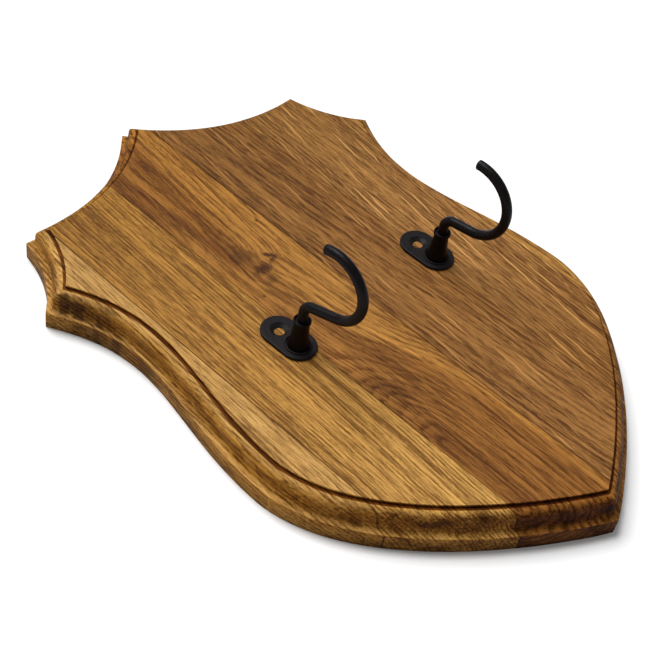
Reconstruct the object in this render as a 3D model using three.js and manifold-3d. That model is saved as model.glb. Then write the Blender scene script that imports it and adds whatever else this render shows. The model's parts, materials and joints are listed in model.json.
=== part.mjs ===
// Shield-shaped oak wall plaque with two swivelling sword hooks.
//
// Units are millimetres. The plaque lies on its back: +Z comes out of the show face, +Y points to the
// shield's crest and +X to its right. The origin is the centre of the board's back face.
//
// The board is six oak staves glued edge to edge, cut to a shield and edged with a quirked ogee.
// Each hook is a bent rod that runs down through a trumpet ferrule, an oval base plate and the board
// to a washer and a lock nut in a counterbore, so it can be turned about its own shank.

import * as THREE from 'three';
import { mergeVertices } from 'three/addons/utils/BufferGeometryUtils.js';
import Module from 'manifold-3d';

// ---- driving dimensions ----------------------------------------------------------------------

const GAP = 0.3;                       // air left between pieces that touch

const board = {
  thickness: 22,
  seams: [-86.2, -41, 4.3, 49.5, 94.7],  // glue lines, from left to right
  boreRadius: 2.8,                       // clearance hole for a hook's shank
  counterboreRadius: 7.5,
  counterboreDepth: 9,
};

// Landmarks of the show face's edge, right half.
const crest = new THREE.Vector2(0, 156);
const horn = new THREE.Vector2(84.8, 124.3);
const shoulder = new THREE.Vector2(103.4, 89.2);
const belly = new THREE.Vector2(101.2, -47.1);
const tip = new THREE.Vector2(0, -156);
const topScallopRise = 9.7;            // how deep each scallop is cut
const sideScallopRise = 2.65;

// The edge moulding, from the show face outwards and down.
const moulding = {
  quirk: 1.8,                          // small square step below the show face
  fillet: 0.6,
  ovoloRadius: 4.8,
  drop: 2.7,                           // straight wall between ovolo and cove
  dropSlant: 0.2,
  coveRadius: 3.3,
};

// The hooks are set and bent by hand, so each has its own place and bends. riseTop is where the first
// bend starts and bendAngle the degrees it turns. The cradle's centre lies drop down the shield from
// the shank and height above the show face, and its arc ends at end degrees from its lowest point.
const hookSets = [
  {
    name: 'left', x: -46.1, y: -9.7, riseTop: 23.5, bendAngle: 71.5,
    cradle: { radius: 17.7, drop: 13, height: 50.8, end: 202 },
  },
  {
    name: 'right', x: 51.5, y: -11.7, riseTop: 22, bendAngle: 81.5,
    cradle: { radius: 19.4, drop: 12.2, height: 48.7, end: 187 },
  },
];

const plate = {
  endRadius: 9.2,
  holeOffset: 12.3,                    // from the shank up to the screw hole
  thickness: 1.6,
  screwHoleRadius: 2.6,
  countersinkRadius: 4.5,
  boreRadius: 2.8,
  beadRadius: 6.3,                     // raised ring round the ferrule's foot
  beadWidth: 0.9,
  beadHeight: 0.8,
};

const ferrule = {
  footRadius: 5.4,
  neckRadius: 3.7,
  collarRadius: 4.3,
  top: 18.3,                           // above the show face
  collarHeight: 2.1,
  boreRadius: 2.8,
  cupRadius: 3.5,
  cupDepth: 1.8,
};

const hook = {
  rodRadius: 2.5,
  shankEnd: 1.6,                       // above the board's back face
  bendRadius: 6,
  shoulderRadius: 3.2,
  shoulderHeight: 1,
};

const washer = { radius: 6, thickness: 1 };
const nut = { acrossFlats: 8, height: 4.9 };

const hanger = {
  y: 96,
  length: 50,
  width: 20,
  thickness: 1.5,
  recess: 0.2,                         // its face sits just below the board's back face
  pocketDepth: 2,
  entryRadius: 5.5,                    // keyhole: the round entry and the narrow slot above it
  entryDrop: 5,
  slotRadius: 3,
  slotRise: 6,
  screwOffset: 19.5,
  cavityRadius: 8,
  cavityDepth: 12,
};

const woodScrew = {
  headRadius: 3.1,
  headHeight: 1.6,
  shankRadius: 1.4,
  length: 12,
  pointLength: 3,
};

// ---- materials -------------------------------------------------------------------------------

const oakTones = {
  stave_far_left: 0xb98a4e,
  stave_left: 0xb07c3a,
  stave_mid_left: 0x9c6a34,
  stave_mid_right: 0x8f6638,
  stave_right: 0x946a39,
  stave_far_right: 0x9a6f3c,
};

function oak(name) {
  return new THREE.MeshStandardMaterial({ color: oakTones[name], roughness: 0.6, metalness: 0 });
}

function blackSteel() {
  return new THREE.MeshStandardMaterial({ color: 0x17171a, roughness: 0.45, metalness: 0.6 });
}

function zincSteel() {
  return new THREE.MeshStandardMaterial({ color: 0xa9acb0, roughness: 0.35, metalness: 0.9 });
}

// ---- solids ----------------------------------------------------------------------------------

const wasm = await Module();
wasm.setup();

function solid(geometry) {
  const bare = geometry.clone();
  bare.deleteAttribute('normal');
  bare.deleteAttribute('uv');
  const merged = mergeVertices(bare, 1e-4);
  return new wasm.Manifold(new wasm.Mesh({
    numProp: 3,
    vertProperties: new Float32Array(merged.attributes.position.array),
    triVerts: new Uint32Array(merged.index.array),
  }));
}

function geometryOf(manifold) {
  const { vertProperties, triVerts } = manifold.getMesh();
  const geometry = new THREE.BufferGeometry();
  geometry.setAttribute('position', new THREE.BufferAttribute(new Float32Array(vertProperties), 3));
  geometry.setIndex(new THREE.BufferAttribute(new Uint32Array(triVerts), 1));
  return geometry;
}

// A body of revolution about Z from [radius, height] pairs; the profile closes on itself.
function turned(profile, segments = 24) {
  const points = [...profile, profile[0]].map(([r, h]) => new THREE.Vector2(r, h));
  return new THREE.LatheGeometry(points, segments).rotateX(Math.PI / 2);
}

// A solid plug about Z; the profile runs from the axis back to the axis, bottom to top.
function plug(profile, segments = 24) {
  const points = profile.map(([r, h]) => new THREE.Vector2(r, h));
  return new THREE.LatheGeometry(points, segments).rotateX(Math.PI / 2);
}

function cylinder(radius, low, high, segments = 24) {
  return plug([[0, low], [radius, low], [radius, high], [0, high]], segments);
}

function extruded(shape, low, high, curveSegments = 12) {
  const settings = { depth: high - low, bevelEnabled: false, curveSegments };
  return new THREE.ExtrudeGeometry(shape, settings).translate(0, 0, low);
}

function box(xLow, xHigh, yLow, yHigh, zLow, zHigh) {
  const geometry = new THREE.BoxGeometry(xHigh - xLow, yHigh - yLow, zHigh - zLow);
  return geometry.translate((xLow + xHigh) / 2, (yLow + yHigh) / 2, (zLow + zHigh) / 2);
}

// A slot outline along Y with a round end of its own radius at each end.
function slotShape(lowY, lowRadius, highY, highRadius) {
  const shape = new THREE.Shape();
  shape.absarc(0, highY, highRadius, 0, Math.PI, false);
  shape.absarc(0, lowY, lowRadius, Math.PI, 2 * Math.PI, false);
  shape.closePath();
  return shape;
}

// ---- the shield outline ----------------------------------------------------------------------

// The arc from a to b that bows inwards by rise; the outline is walked clockwise.
function scallop(a, b, rise) {
  const chord = b.clone().sub(a);
  const half = chord.length() / 2;
  const radius = (half * half + rise * rise) / (2 * rise);
  const outward = new THREE.Vector2(-chord.y, chord.x).normalize();
  const centre = a.clone().add(b).multiplyScalar(0.5).addScaledVector(outward, radius - rise);
  const angle = (point) => Math.atan2(point.y - centre.y, point.x - centre.x);
  return new THREE.EllipseCurve(centre.x, centre.y, radius, radius, angle(a), angle(b), false);
}

const flankHandles = [new THREE.Vector2(74.4, 38.7), new THREE.Vector2(101.2, 6.3)];
const pointHandles = [new THREE.Vector2(101.2, -102), new THREE.Vector2(11, -150.8)];

const edgeCurves = [
  { curve: scallop(crest, horn, topScallopRise), steps: 10 },
  { curve: scallop(horn, shoulder, sideScallopRise), steps: 5 },
  { curve: new THREE.CubicBezierCurve(shoulder, ...flankHandles, belly), steps: 12 },
  { curve: new THREE.CubicBezierCurve(belly, ...pointHandles, tip), steps: 12 },
];

function outwardNormal(curve, u) {
  const tangent = curve.getTangentAt(u);
  return new THREE.Vector2(-tangent.y, tangent.x);
}

// Where two offset edges meet, per millimetre of offset.
function mitre(before, after) {
  return before.clone().add(after).divideScalar(1 + before.dot(after));
}

// Stations down the right half: a point of the show face's edge and the way it moves when offset.
function rightStations() {
  const stations = [];
  const startNormal = outwardNormal(edgeCurves[0].curve, 0);
  let before = new THREE.Vector2(-startNormal.x, startNormal.y);
  for (const { curve, steps } of edgeCurves) {
    for (let i = 0; i < steps; i += 1) {
      const normal = outwardNormal(curve, i / steps);
      const push = i === 0 ? mitre(before, normal) : normal;
      stations.push({ point: curve.getPointAt(i / steps), push });
    }
    before = outwardNormal(curve, 1);
  }
  stations.push({ point: tip.clone(), push: mitre(before, new THREE.Vector2(-before.x, before.y)) });
  return stations;
}

const rightHalf = rightStations();

function outline(offset) {
  const right = rightHalf.map(({ point, push }) => point.clone().addScaledVector(push, offset));
  const left = right.slice(1, -1).reverse().map((point) => new THREE.Vector2(-point.x, point.y));
  return [...right, ...left];
}

function quarter(steps, place) {
  return Array.from({ length: steps + 1 }, (_, i) => place((i / steps) * (Math.PI / 2)));
}

// The moulding as [offset, height] pairs, from the show face's edge down to the back.
function mouldingProfile() {
  const { quirk, fillet, ovoloRadius, drop, dropSlant, coveRadius } = moulding;
  const top = board.thickness;
  const ovoloLow = top - quirk - ovoloRadius;
  const coveTop = ovoloLow - drop;
  const coveStart = fillet + ovoloRadius + dropSlant;
  const band = coveStart + coveRadius;
  return [
    [0, top],
    [0, top - quirk],
    ...quarter(5, (a) => [fillet + ovoloRadius * Math.sin(a), ovoloLow + ovoloRadius * Math.cos(a)]),
    ...quarter(4, (a) => [band - coveRadius * Math.cos(a), coveTop - coveRadius * Math.sin(a)]),
    [band, 0],
  ];
}

const profile = mouldingProfile();
const bandOffset = profile[profile.length - 1][0];

// The shield is centred along Y on its outer edge.
const outerEdge = outline(bandOffset);
const centreY = (outerEdge[0].y + outerEdge[rightHalf.length - 1].y) / 2;

function capFaces(ring, first, facesUp) {
  const faces = THREE.ShapeUtils.triangulateShape(ring, []);
  return faces.flatMap(([a, b, c]) => {
    const ab = ring[b].clone().sub(ring[a]);
    const ac = ring[c].clone().sub(ring[a]);
    const turnsUp = ab.cross(ac) > 0;
    return turnsUp === facesUp ? [first + a, first + b, first + c] : [first + a, first + c, first + b];
  });
}

// The moulded blank: one outline per profile point, joined ring to ring and capped.
function shieldBlank() {
  const rings = profile.map(([offset]) => outline(offset));
  const count = rings[0].length;
  const positions = rings.flatMap((ring, level) =>
    ring.flatMap((point) => [point.x, point.y - centreY, profile[level][1]]));
  const faces = [];
  for (let level = 0; level < rings.length - 1; level += 1) {
    for (let i = 0; i < count; i += 1) {
      const next = (i + 1) % count;
      const [upper, lower] = [level * count, (level + 1) * count];
      faces.push(upper + i, upper + next, lower + next);
      faces.push(upper + i, lower + next, lower + i);
    }
  }
  faces.push(...capFaces(rings[0], 0, true));
  faces.push(...capFaces(rings[rings.length - 1], (rings.length - 1) * count, false));
  const geometry = new THREE.BufferGeometry();
  geometry.setAttribute('position', new THREE.Float32BufferAttribute(positions, 3));
  geometry.setIndex(faces);
  return geometry;
}

// ---- the staves ------------------------------------------------------------------------------

// Everything that is bored or routed out of the glued-up board.
function boardCuts() {
  const cuts = [];
  for (const { x, y } of hookSets) {
    cuts.push(cylinder(board.boreRadius, -1, board.thickness + 1).translate(x, y, 0));
    const counterbore = cylinder(board.counterboreRadius, -1, board.counterboreDepth);
    cuts.push(counterbore.translate(x, y, 0));
  }
  const halfWidth = hanger.width / 2;
  const end = hanger.length / 2 - halfWidth;
  const pocket = slotShape(hanger.y - end, halfWidth + GAP, hanger.y + end, halfWidth + GAP);
  cuts.push(extruded(pocket, -1, hanger.pocketDepth));
  const [low, high] = [hanger.y - hanger.entryDrop, hanger.y + hanger.slotRise];
  const cavity = slotShape(low, hanger.cavityRadius, high, hanger.cavityRadius);
  cuts.push(extruded(cavity, -1, hanger.cavityDepth));
  const pilot = woodScrew.shankRadius + GAP;
  for (const y of hangerScrewYs()) {
    cuts.push(cylinder(pilot, -1, hanger.recess + woodScrew.length + GAP, 12).translate(0, y, 0));
  }
  return cuts.map(solid);
}

function hangerScrewYs() {
  return [hanger.y + hanger.screwOffset, hanger.y - hanger.screwOffset];
}

function staves() {
  let shield = solid(shieldBlank());
  for (const cut of boardCuts()) shield = shield.subtract(cut);
  const reach = 200;
  const edges = [-reach, ...board.seams, reach];
  return Object.keys(oakTones).map((name, i) => {
    const slab = box(edges[i] + GAP / 2, edges[i + 1] - GAP / 2, -reach, reach, -1, board.thickness + 1);
    return piece(name, geometryOf(shield.intersect(solid(slab))), oak(name));
  });
}

function piece(name, geometry, material) {
  const mesh = new THREE.Mesh(geometry, material);
  mesh.name = name;
  return mesh;
}

// ---- one hook and its fittings, about the shank's axis with the show face at z = 0 --------------

function basePlate() {
  const { endRadius, holeOffset, thickness, boreRadius, screwHoleRadius, countersinkRadius } = plate;
  const { beadRadius, beadWidth, beadHeight } = plate;
  const low = GAP / 3;
  const high = low + thickness;
  const body = solid(extruded(slotShape(0, endRadius, holeOffset, endRadius), low, high, 14));
  const bead = solid(turned([
    [beadRadius - beadWidth / 2, high - 0.5],
    [beadRadius + beadWidth / 2, high - 0.5],
    [beadRadius + beadWidth / 2, high + beadHeight / 2],
    [beadRadius, high + beadHeight],
    [beadRadius - beadWidth / 2, high + beadHeight / 2],
  ], 32));
  const countersink = solid(plug([
    [0, low - 1],
    [screwHoleRadius, low - 1],
    [screwHoleRadius, low + 0.3],
    [countersinkRadius, high],
    [countersinkRadius, high + 1],
    [0, high + 1],
  ]).translate(0, holeOffset, 0));
  const bore = solid(cylinder(boreRadius, low - 1, high + 1));
  return geometryOf(body.add(bead).subtract(countersink).subtract(bore));
}

// The flare follows a quarter ellipse from the foot's edge up to the neck.
function ferruleBody() {
  const { footRadius, neckRadius, collarRadius, top, collarHeight, boreRadius } = ferrule;
  const { cupRadius, cupDepth } = ferrule;
  const foot = plate.thickness + GAP / 3 + GAP;
  const neck = top - collarHeight;
  const flare = Array.from({ length: 8 }, (_, i) => {
    const rise = i / 7;
    const spread = (1 - rise) ** 1.6;
    return [neckRadius + (footRadius - neckRadius) * spread, foot + 0.6 + (neck - foot - 0.6) * rise];
  });
  return turned([
    [boreRadius, foot],
    [footRadius, foot],
    ...flare,
    [collarRadius, neck + 0.5],
    [collarRadius, top - 0.5],
    [collarRadius - 0.4, top],
    [cupRadius, top],
    [cupRadius, top - cupDepth],
    [boreRadius, top - cupDepth],
  ]);
}

// Line and arc pieces of the rod's centre line, in the plane of +Z and the shield's -Y.
class RodArc extends THREE.Curve {
  constructor(centreDown, centreUp, radius, from, to) {
    super();
    Object.assign(this, { centreDown, centreUp, radius, from, to });
  }

  getPoint(t, target = new THREE.Vector3()) {
    const angle = THREE.MathUtils.degToRad(this.from + (this.to - this.from) * t);
    const down = this.centreDown + this.radius * Math.cos(angle);
    return target.set(0, -down, this.centreUp + this.radius * Math.sin(angle));
  }
}

// Up the shank, over the first bend, along a short straight and round the cradle.
function rodPath({ riseTop, bendAngle, cradle: { radius, drop, height, end } }) {
  const { shankEnd, bendRadius } = hook;
  const bend = new RodArc(bendRadius, riseTop, bendRadius, 180, 180 - bendAngle);
  const cradle = new RodArc(drop, height, radius, -bendAngle, end - 90);
  const path = new THREE.CurvePath();
  const shankLow = new THREE.Vector3(0, 0, shankEnd - board.thickness);
  path.add(new THREE.LineCurve3(shankLow, bend.getPoint(0)));
  path.add(bend);
  path.add(new THREE.LineCurve3(bend.getPoint(1), cradle.getPoint(0)));
  path.add(cradle);
  return path;
}

function hookRod(bends) {
  const { rodRadius, shoulderRadius, shoulderHeight } = hook;
  const section = new THREE.Shape().absarc(0, 0, rodRadius, 0, 2 * Math.PI, false);
  const settings = { steps: 64, curveSegments: 6, bevelEnabled: false, extrudePath: rodPath(bends) };
  const rod = solid(new THREE.ExtrudeGeometry(section, settings));
  const seat = ferrule.top - ferrule.cupDepth + GAP;
  return geometryOf(rod.add(solid(cylinder(shoulderRadius, seat, seat + shoulderHeight, 18))));
}

function washerRing(low) {
  const bore = board.boreRadius;
  const { radius, thickness } = washer;
  return turned([[bore, low], [radius, low], [radius, low + thickness], [bore, low + thickness]]);
}

function lockNut(low) {
  const corner = nut.acrossFlats / Math.sqrt(3);
  const hexagon = new THREE.Shape();
  for (let i = 0; i < 6; i += 1) {
    const angle = (i * Math.PI) / 3;
    const [x, y] = [corner * Math.cos(angle), corner * Math.sin(angle)];
    if (i === 0) hexagon.moveTo(x, y);
    else hexagon.lineTo(x, y);
  }
  hexagon.closePath();
  hexagon.holes.push(new THREE.Path().absarc(0, 0, board.boreRadius, 0, 2 * Math.PI, true));
  return extruded(hexagon, low, low + nut.height, 12);
}

function hookSet({ name, x, y, ...bends }) {
  const set = new THREE.Group();
  set.position.set(x, y, board.thickness);
  const washerLow = board.counterboreDepth - GAP - washer.thickness - board.thickness;
  const nutLow = washerLow - GAP - nut.height;
  set.add(
    piece(`base_plate_${name}`, basePlate(), blackSteel()),
    piece(`ferrule_${name}`, ferruleBody(), blackSteel()),
    piece(`hook_${name}`, hookRod(bends), blackSteel()),
    piece(`washer_${name}`, washerRing(washerLow), zincSteel()),
    piece(`lock_nut_${name}`, lockNut(nutLow), zincSteel()),
  );
  return set;
}

// ---- the hanger on the back --------------------------------------------------------------------

// A countersunk wood screw about Z with its flat head down at z = 0; grow swells it all over.
function screwProfile(grow) {
  const { headRadius, headHeight, shankRadius, length, pointLength } = woodScrew;
  return [
    [0, -grow],
    [headRadius + grow, -grow],
    [headRadius + grow, grow],
    [shankRadius + grow, headHeight + grow],
    [shankRadius + grow, length - pointLength],
    [0, length + grow],
  ];
}

function hangerPlate() {
  const halfWidth = hanger.width / 2;
  const end = hanger.length / 2 - halfWidth;
  const shape = slotShape(-end, halfWidth, end, halfWidth);
  const low = hanger.recess;
  const body = solid(extruded(shape, low, low + hanger.thickness));
  const entry = cylinder(hanger.entryRadius, -1, 5).translate(0, -hanger.entryDrop, 0);
  const slot = slotShape(-hanger.entryDrop, hanger.slotRadius, hanger.slotRise, hanger.slotRadius);
  let cut = body.subtract(solid(entry)).subtract(solid(extruded(slot, -1, 5)));
  for (const y of [hanger.screwOffset, -hanger.screwOffset]) {
    cut = cut.subtract(solid(plug(screwProfile(0.2), 16).translate(0, y, low)));
  }
  return geometryOf(cut).translate(0, hanger.y, 0);
}

function hangerParts() {
  const [upper, lower] = hangerScrewYs();
  const screw = () => plug(screwProfile(0), 16);
  const parts = [
    piece('hanger_plate', hangerPlate(), zincSteel()),
    piece('hanger_screw_upper', screw(), zincSteel()),
    piece('hanger_screw_lower', screw(), zincSteel()),
  ];
  parts[1].position.set(0, upper, hanger.recess);
  parts[2].position.set(0, lower, hanger.recess);
  return parts;
}

// ---- assembly ----------------------------------------------------------------------------------

const plaque = new THREE.Group();
plaque.add(...staves());
plaque.add(...hookSets.map(hookSet));
plaque.add(...hangerParts());

export default plaque;
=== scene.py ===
import json
from math import asin, atan2, cos, degrees, dist, pi, radians, sin, sqrt, tau

import bmesh
import bpy
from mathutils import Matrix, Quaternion, Vector, noise


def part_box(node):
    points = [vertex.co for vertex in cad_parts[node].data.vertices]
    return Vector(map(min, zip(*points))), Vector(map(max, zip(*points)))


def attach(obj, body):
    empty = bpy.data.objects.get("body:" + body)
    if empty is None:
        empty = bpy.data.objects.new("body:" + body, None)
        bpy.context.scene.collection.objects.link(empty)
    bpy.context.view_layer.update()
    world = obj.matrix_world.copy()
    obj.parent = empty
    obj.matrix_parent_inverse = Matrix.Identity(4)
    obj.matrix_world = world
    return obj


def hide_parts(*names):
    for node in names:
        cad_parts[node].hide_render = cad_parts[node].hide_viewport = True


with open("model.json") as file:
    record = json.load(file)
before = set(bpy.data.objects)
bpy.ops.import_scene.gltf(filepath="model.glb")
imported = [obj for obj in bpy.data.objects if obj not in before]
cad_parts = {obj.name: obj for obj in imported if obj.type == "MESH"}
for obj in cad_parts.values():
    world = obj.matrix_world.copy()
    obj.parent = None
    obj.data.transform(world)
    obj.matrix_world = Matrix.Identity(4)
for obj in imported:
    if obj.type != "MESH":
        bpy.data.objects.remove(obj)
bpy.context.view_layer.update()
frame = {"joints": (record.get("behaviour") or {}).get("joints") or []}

# A shield-shaped oak wall plaque with two swivelling black hooks, in millimetres. It lies on its back:
# +Z is out of the show face, +Y to the crest.
MM = 0.001
SHARP = radians(34)  # a mesh edge turning more than this is drawn sharp


def node_box(node):
    """A CAD node's lowest and highest corners."""
    low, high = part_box(node)
    return Vector(low) / MM, Vector(high) / MM


# ---- driving dimensions ----

STAVES = ["stave_far_left", "stave_left", "stave_mid_left",
          "stave_mid_right", "stave_right", "stave_far_right"]
SIDES = ["left", "right"]
BOARD_TOP = node_box("stave_left")[1].z
SEAMS = [(node_box(a)[1].x + node_box(b)[0].x) / 2 for a, b in zip(STAVES, STAVES[1:])]
HOOK_AXES = {joint["child"]: Vector(joint["pos_m"]) / MM for joint in frame["joints"]}

# Landmarks of the show face's edge, right half.
CREST = Vector((0, 156))
HORN = Vector((84.8, 124.3))
SHOULDER = Vector((103.4, 89.2))
BELLY = Vector((101.2, -47.1))
TIP = Vector((0, -156))
TOP_SCALLOP_RISE = 9.7
SIDE_SCALLOP_RISE = 2.65
FLANK_HANDLES = [Vector((74.4, 38.7)), Vector((101.2, 6.3))]
POINT_HANDLES = [Vector((101.2, -102)), Vector((11, -150.8))]

# The edge moulding, from the show face outwards and down.
QUIRK = 1.8
FILLET = 0.6
OVOLO_RADIUS = 4.8
DROP = 2.7
DROP_SLANT = 0.2
COVE_RADIUS = 3.3
ARRIS = 0.35                           # sanded rounding of the moulding's corners
WOBBLE = 0.14                          # how far hand sanding leaves the moulding off its line

GLUE_LINE = 0.06                       # what shows between two staves
SEAM_CHAMFER = 0.12

BORE_RADIUS = 2.8
COUNTERBORE_RADIUS = 7.5
COUNTERBORE_DEPTH = 9

ROD_RADIUS = 2.5
BEND_RADIUS = 6
END_CHAMFER = 0.2                      # broken edge of the rod's cut ends
# Each hook is bent by hand. rise_top is where its first bend starts above the show face, bend_angle the
# degrees it turns. The cradle's centre is drop down the shield and height above the show face.
HOOK_BENDS = {
    "left": {"rise_top": 23.5, "bend_angle": 71.5, "radius": 17.7, "drop": 13, "height": 50.8, "end": 202},
    "right": {"rise_top": 22, "bend_angle": 81.5, "radius": 19.4, "drop": 12.2, "height": 48.7, "end": 187},
}
SHOULDER_RADIUS = 3.2
SHOULDER_HEIGHT = 1
THREAD_LENGTH = 12
FINE_LENGTH = 14                       # the rod's mesh is fine up to here
THREAD_PITCH = 0.8
THREAD_DEPTH = 0.35

PLATE_END_RADIUS = 9.2
PLATE_HOLE_OFFSET = 12.3
SCREW_HOLE_RADIUS = 2.6
COUNTERSINK_RADIUS = 4.5
BEAD_RADIUS = 6.3
BEAD_WIDTH = 0.9
BEAD_HEIGHT = 0.8

FERRULE_FOOT = 5.4
FOOT_HEIGHT = 0.6
FERRULE_NECK = 3.7
FERRULE_COLLAR = 4.3
COLLAR_HEIGHT = 2.1
CUP_RADIUS = 3.5
CUP_DEPTH = 1.8

NUT_FLATS = 8
NUT_CHAMFER = 0.5

HANGER_Y = 96
HANGER_MIDDLE = (0, HANGER_Y)
HANGER_POCKET_DEPTH = 2
POCKET_CLEARANCE = 0.3
KEY_ENTRY_RADIUS = 5.5
KEY_ENTRY_DROP = 5
KEY_SLOT_RADIUS = 3
KEY_SLOT_RISE = 6
KEY_CAVITY_RADIUS = 8
KEY_CAVITY_DEPTH = 12
SCREW_CENTRES = {"upper": (0, HANGER_Y + 19.5), "lower": (0, HANGER_Y - 19.5)}
SCREW_HEAD_RADIUS = 3.1
SCREW_HEAD_HEIGHT = 1.6
SCREW_SHANK_RADIUS = 1.4
SCREW_LENGTH = 12
SCREW_POINT = 3
SCREW_PITCH = 1.3
SCREW_THREAD = 0.45


# ---- mesh helpers ----

def placed(name, data):
    obj = bpy.data.objects.new(name, data)
    bpy.context.scene.collection.objects.link(obj)
    return obj


def new_object(name, points, faces):
    mesh = bpy.data.meshes.new(name)
    mesh.from_pydata([Vector(point) * MM for point in points], [], faces)
    mesh.update()
    return placed(name, mesh)


def edit(obj, change):
    """Runs change on the object's mesh as a bmesh."""
    mesh = bmesh.new()
    mesh.from_mesh(obj.data)
    change(mesh)
    bmesh.ops.recalc_face_normals(mesh, faces=mesh.faces)
    mesh.to_mesh(obj.data)
    mesh.free()


def carve(obj, cutters, operation="DIFFERENCE"):
    """Cuts or joins the cutters into obj one by one, and deletes them."""
    for cutter in cutters:
        modifier = obj.modifiers.new("carve", "BOOLEAN")
        modifier.operation = operation
        modifier.solver = "EXACT"
        modifier.object = cutter
        depsgraph = bpy.context.evaluated_depsgraph_get()
        result = bpy.data.meshes.new_from_object(obj.evaluated_get(depsgraph))
        obj.modifiers.clear()
        old = obj.data
        obj.data = result
        bpy.data.meshes.remove(old)
        bpy.data.objects.remove(cutter)
    return obj


def softened(points, radius, closed=False, steps=3):
    """The polyline with its sharp corners rounded."""
    result = []
    count = len(points)
    for i, corner in enumerate(points):
        corner = Vector(corner)
        to_before = Vector(points[i - 1]) - corner
        to_after = Vector(points[(i + 1) % count]) - corner
        at_end = not closed and i in (0, count - 1)
        if at_end or pi - to_before.angle(to_after) < SHARP:
            result.append(corner)
            continue
        reach = min(radius, to_before.length * 0.45, to_after.length * 0.45)
        start = corner + to_before.normalized() * reach
        end = corner + to_after.normalized() * reach
        for step in range(steps + 1):
            t = step / steps
            result.append(start * (1 - t) ** 2 + corner * 2 * t * (1 - t) + end * t ** 2)
    return result


def bridged(rings, closed):
    """Quads between neighbouring rings, which all have the same number of points."""
    count = len(rings[0])
    faces = []
    for level in range(len(rings) if closed else len(rings) - 1):
        low = level * count
        high = (level + 1) % len(rings) * count
        for i in range(count):
            after = (i + 1) % count
            faces.append((low + i, low + after, high + after, high + i))
    return faces


def lofted(name, rings, closed=False):
    """A solid through rings of points, with flat ends unless it closes on itself."""
    points = [point for ring in rings for point in ring]
    faces = bridged(rings, closed)
    if not closed:
        count = len(rings[0])
        faces.append(tuple(range(count)))
        faces.append(tuple(range(len(points) - count, len(points))))
    obj = new_object(name, points, faces)
    edit(obj, lambda mesh: None)
    return obj


def circle(centre, radius, height, segments):
    return [(centre[0] + radius * cos(tau * i / segments),
             centre[1] + radius * sin(tau * i / segments), height) for i in range(segments)]


def turned(name, profile, centre=(0, 0), segments=96, closed=True):
    """A profile of (radius, height) turned about an upright axis at centre."""
    rings = [circle(centre, radius, height, segments) for radius, height in profile]
    return lofted(name, rings, closed)


def slot_ring(inset, height, centre, low_y, low_radius, high_y, high_radius, steps=40):
    """A slot's outline, round at both ends and upright along Y, drawn in by inset."""
    ring = []
    for y, radius, start in ((high_y, high_radius, 0), (low_y, low_radius, pi)):
        for i in range(steps + 1):
            angle = start + pi * i / steps
            ring.append((centre[0] + (radius - inset) * cos(angle),
                         centre[1] + y + (radius - inset) * sin(angle), height))
    return ring


def slot_block(name, low, high, centre, *shape, corner=0.0):
    """A straight slot-shaped block, with rounded upper and lower edges if corner is given."""
    profile = [(0, low), (0, high)]
    if corner:
        profile = softened([(2, low), *profile, (2, high)], corner, steps=5)
    return lofted(name, [slot_ring(inset, height, centre, *shape) for inset, height in profile])


def flat_ring(name, inner, outer, low, high, centre, corner, segments=96):
    """A ring with rounded edges."""
    profile = [(inner, low), (outer, low), (outer, high), (inner, high)]
    return turned(name, softened(profile, corner, closed=True), centre, segments)


def drill(radius, low, high, centre, segments=64):
    return turned("drill", [(radius, low), (radius, high)], centre, segments, closed=False)


def finish_piece(obj, body, materials, node):
    """Smooth shading, materials, and the piece's place in the frame."""
    obj.data.shade_smooth()
    obj.data.set_sharp_from_angle(angle=SHARP)
    weighted = obj.modifiers.new("flat faces stay flat", "WEIGHTED_NORMAL")
    weighted.keep_sharp = True
    for material in materials:
        obj.data.materials.append(material)
    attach(obj, body)
    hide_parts(node)


# ---- shader helpers ----

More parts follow.
